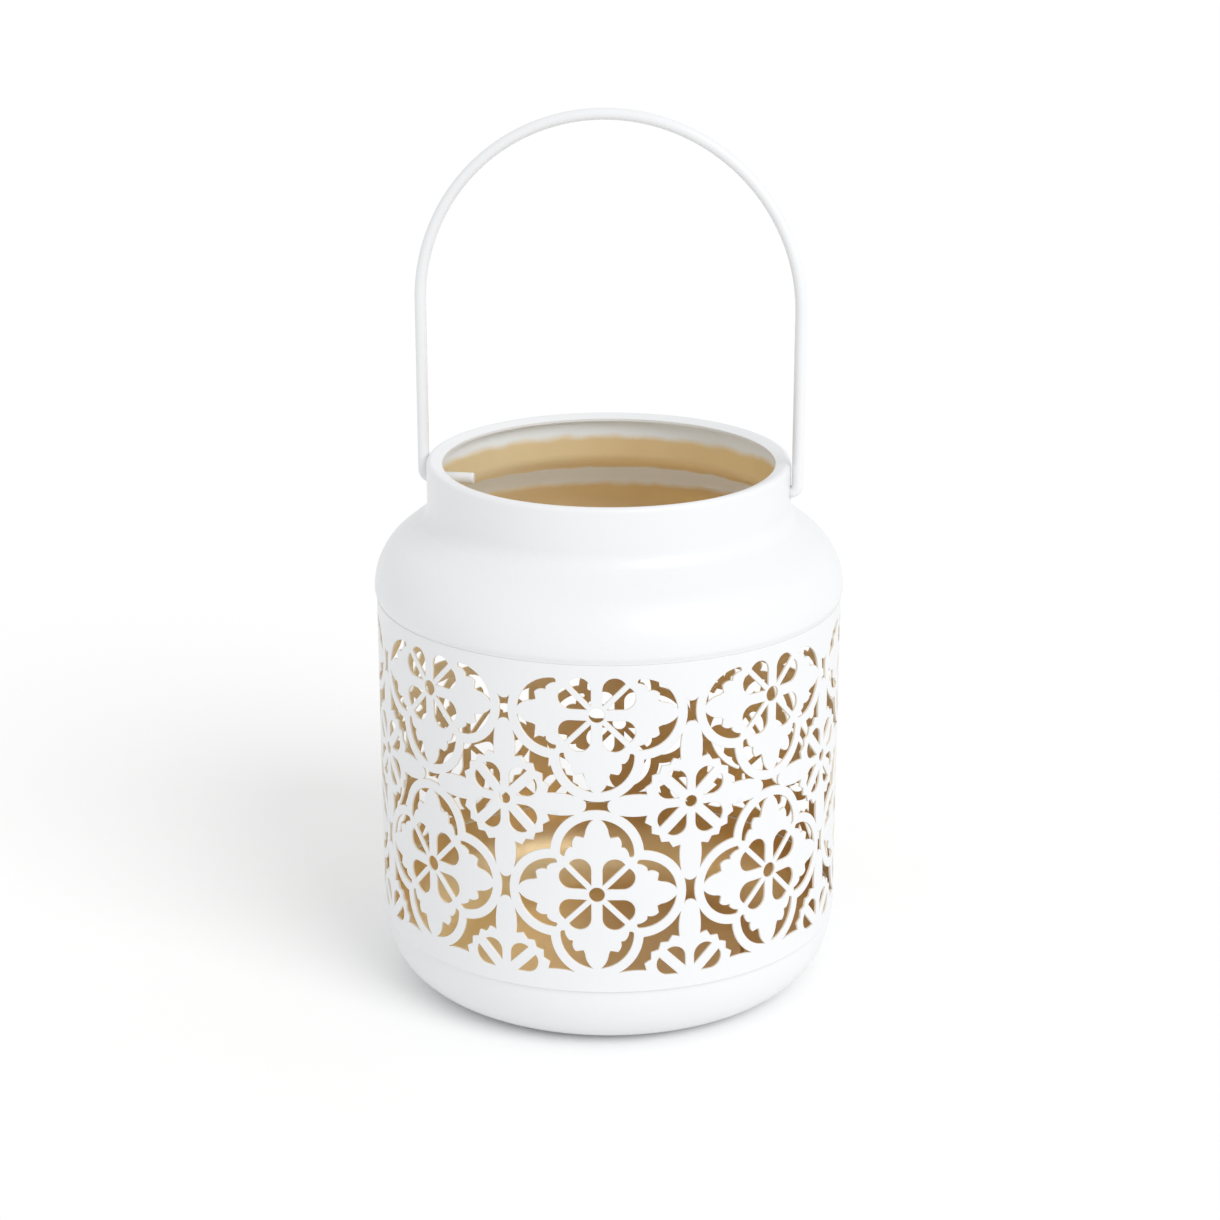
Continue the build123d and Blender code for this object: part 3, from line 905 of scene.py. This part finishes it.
def gold_paint():
    """Gold paint with painted light and shade, satin near the mouth and shinier deep inside, over partly bare
    white paint.
    """
    material, nodes, links, shader = new_paint("gold_paint")
    place = nodes.new("ShaderNodeTexCoord")
    clouds = noise(nodes, links, place, GOLD_CLOUDS)
    full = blend(nodes, links, clouds.outputs["Fac"], *GOLD_TONES)
    split = nodes.new("ShaderNodeSeparateXYZ")
    links.new(place.outputs["Object"], split.inputs["Vector"])
    # Painted highlight: towards -X the gold is blended into a paler, brighter gold, standing in for light
    # from the mouth.
    lit_left = spread_of(nodes, links, split.outputs["X"], LEFT_LIGHT_SHARE, 0, -NECK_R * MM, 0)
    # Painted shade: from SHALLOW down to DEEP the gold is blended into a darker gold.
    deep = spread_of(nodes, links, split.outputs["Z"], 1, 0, DEEP * MM, SHALLOW * MM)
    gold_tone = blend(nodes, links, lit_left, blend(nodes, links, deep, full, SHADED_DEEP_GOLD), PAINTED_LIT_GOLD)
    bare = bare_share(nodes, links, place, split)
    # Where the white is bare, it takes a brighter, bluer white than outside: painted light.
    links.new(blend(nodes, links, bare, gold_tone, LIT_BARE_WHITE), shader.inputs["Base Color"])
    shine = nodes.new("ShaderNodeMath")
    shine.operation = "MULTIPLY"
    links.new(spread_of(nodes, links, deep, *SHINE, 0, 1), shine.inputs[0])
    links.new(spread_of(nodes, links, bare, 1, 0, 0, 1), shine.inputs[1])
    links.new(shine.outputs["Value"], shader.inputs["Metallic"])
    gloss = noise(nodes, links, place, GOLD_GLOSS)
    links.new(spread_of(nodes, links, gloss.outputs["Fac"], *GOLD_ROUGH), shader.inputs["Roughness"])
    grain = noise(nodes, links, place, GRAIN, detail=2.0)
    skin_bump(nodes, links, shader, grain.outputs["Fac"], *GRAIN_BUMP)
    return material


gold = gold_paint()
print("paint:", gold.name)

# %% [markdown]
# A little of the gold mist came through the cut-outs, so their walls are cream. Then each piece gets its
# paints, in the order of the numbers that its faces hold.

# %% Paint on the cut edges
EDGE_TONES = (0.84, 0.76, 0.62), (0.86, 0.83, 0.76)
EDGE_ROUGH = 0.38, 0.50
MIST = 500
MIST_BUMP = 0.05, 0.0003


def edge_paint():
    """Cream paint of the cut-outs' walls: white, with a mist of gold that came through from the inside."""
    material, nodes, links, shader = new_paint("cut_edge_paint")
    place = nodes.new("ShaderNodeTexCoord")
    mist = noise(nodes, links, place, MIST, detail=4.0)
    links.new(blend(nodes, links, mist.outputs["Fac"], *EDGE_TONES), shader.inputs["Base Color"])
    links.new(spread_of(nodes, links, mist.outputs["Fac"], *EDGE_ROUGH), shader.inputs["Roughness"])
    skin_bump(nodes, links, shader, mist.outputs["Fac"], *MIST_BUMP)
    return material


cut_edge = edge_paint()
for piece in (base_pan, shoulder_collar, punched_band):
    for paint in (white, gold, cut_edge):
        piece.data.materials.append(paint)
bail_handle.data.materials.append(white)
print("paint:", cut_edge.name)

# %% [markdown]
# ## Floor, light and camera
# The photograph is a studio shot on white: an even light from all sides, a large soft light from the right,
# and a soft shadow to the left. The floor shows white to the camera and still takes the lantern's shadow.

# %% Floor
FLOOR_BOUNCE, FLOOR_SEEN, FLOOR_GLOW = 0.98, 1.0, 0.02
FLOOR_REACH = 6.0


def seen_share(nodes, links):
    """1 for a ray from the eye, or from the eye by way of a mirror or glass, and 0 for all other light."""
    path = nodes.new("ShaderNodeLightPath")
    share = path.outputs["Is Camera Ray"]
    for name in ("Is Glossy Ray", "Is Transmission Ray"):
        either = nodes.new("ShaderNodeMath")
        either.operation = "MAXIMUM"
        links.new(share, either.inputs[0])
        links.new(path.outputs[name], either.inputs[1])
        share = either.outputs["Value"]
    return share


def white_floor():
    """Floor material: to the eye, a part that takes shadow plus a faint glow; to all other light, white."""
    material, nodes, links, shader = new_paint("white_floor")
    nodes.remove(shader)
    bounce = nodes.new("ShaderNodeBsdfDiffuse")
    bounce.inputs["Color"].default_value = (FLOOR_BOUNCE, FLOOR_BOUNCE, FLOOR_BOUNCE, 1)
    shaded = nodes.new("ShaderNodeBsdfDiffuse")
    shaded.inputs["Color"].default_value = (FLOOR_SEEN, FLOOR_SEEN, FLOOR_SEEN, 1)
    glow = nodes.new("ShaderNodeEmission")
    glow.inputs["Strength"].default_value = FLOOR_GLOW
    seen = nodes.new("ShaderNodeAddShader")
    links.new(shaded.outputs["BSDF"], seen.inputs[0])
    links.new(glow.outputs["Emission"], seen.inputs[1])
    mix = nodes.new("ShaderNodeMixShader")
    links.new(seen_share(nodes, links), mix.inputs["Fac"])
    links.new(bounce.outputs["BSDF"], mix.inputs[1])
    links.new(seen.outputs["Shader"], mix.inputs[2])
    links.new(mix.outputs["Shader"], nodes["Material Output"].inputs["Surface"])
    return material


floor_mesh = bpy.data.meshes.new("floor")
corners = [(s * FLOOR_REACH, t * FLOOR_REACH, 0) for s, t in ((-1, -1), (1, -1), (1, 1), (-1, 1))]
floor_mesh.from_pydata(corners, [], [(0, 1, 2, 3)])
floor = bpy.data.objects.new("floor", floor_mesh)
bpy.context.scene.collection.objects.link(floor)
floor.data.materials.append(white_floor())
print("floor of", 2 * FLOOR_REACH, "m")

# %% [markdown]
# Two lights do for a studio: the world, which lights from all sides, and one sun with a wide disc, which has
# soft shadows. The world shows white where it is seen, but lights the lantern with less than that, so that
# the paint doesn't burn out.

# %% Light
WORLD_LIGHT = 0.767
KEY_BEARING, KEY_HEIGHT, KEY_WIDTH, KEY_STRENGTH = 48, 36, 35, 1.2


def soft_sun(name, bearing, height, width, strength):
    """Far soft light: its bearing is from the front towards +X and its height from the floor, in degrees."""
    lamp = bpy.data.lights.new(name, "SUN")
    lamp.angle = math.radians(width)
    lamp.energy = strength
    holder = bpy.data.objects.new(name, lamp)
    a, b = math.radians(bearing), math.radians(height)
    towards = Vector((math.sin(a) * math.cos(b), -math.cos(a) * math.cos(b), math.sin(b)))
    holder.rotation_euler = towards.to_track_quat("Z", "Y").to_euler()
    holder.location = towards
    bpy.context.scene.collection.objects.link(holder)


def white_world():
    """Even white light from all sides at WORLD_LIGHT, which shows as plain white where it is seen."""
    world = bpy.data.worlds.new("studio")
    world.use_nodes = True
    nodes, links = world.node_tree.nodes, world.node_tree.links
    nodes["Background"].inputs["Color"].default_value = (1, 1, 1, 1)
    strength = spread_of(nodes, links, seen_share(nodes, links), WORLD_LIGHT, 1, 0, 1)
    links.new(strength, nodes["Background"].inputs["Strength"])
    bpy.context.scene.world = world


white_world()
soft_sun("key", KEY_BEARING, KEY_HEIGHT, KEY_WIDTH, KEY_STRENGTH)
print("world and one soft light")

# %% [markdown]
# The camera stands where the photograph was taken from: its place, turn and lens were fitted to the seams,
# the rim and the bail.

# %% Camera
LENS, SENSOR = 83.8, 36
CAMERA_PLACE = (0.10954, -0.69162, 0.33328)
CAMERA_TURN = (71.498, 0, 8.977)
camera_data = bpy.data.cameras.new("camera")
camera_data.lens = LENS
camera_data.sensor_width = SENSOR
camera = bpy.data.objects.new("camera", camera_data)
camera.location = CAMERA_PLACE
camera.rotation_euler = tuple(map(math.radians, CAMERA_TURN))
bpy.context.scene.collection.objects.link(camera)
bpy.context.scene.camera = camera
bpy.context.scene.view_settings.view_transform = "Standard"
print("camera with a lens of", camera_data.lens, "mm")
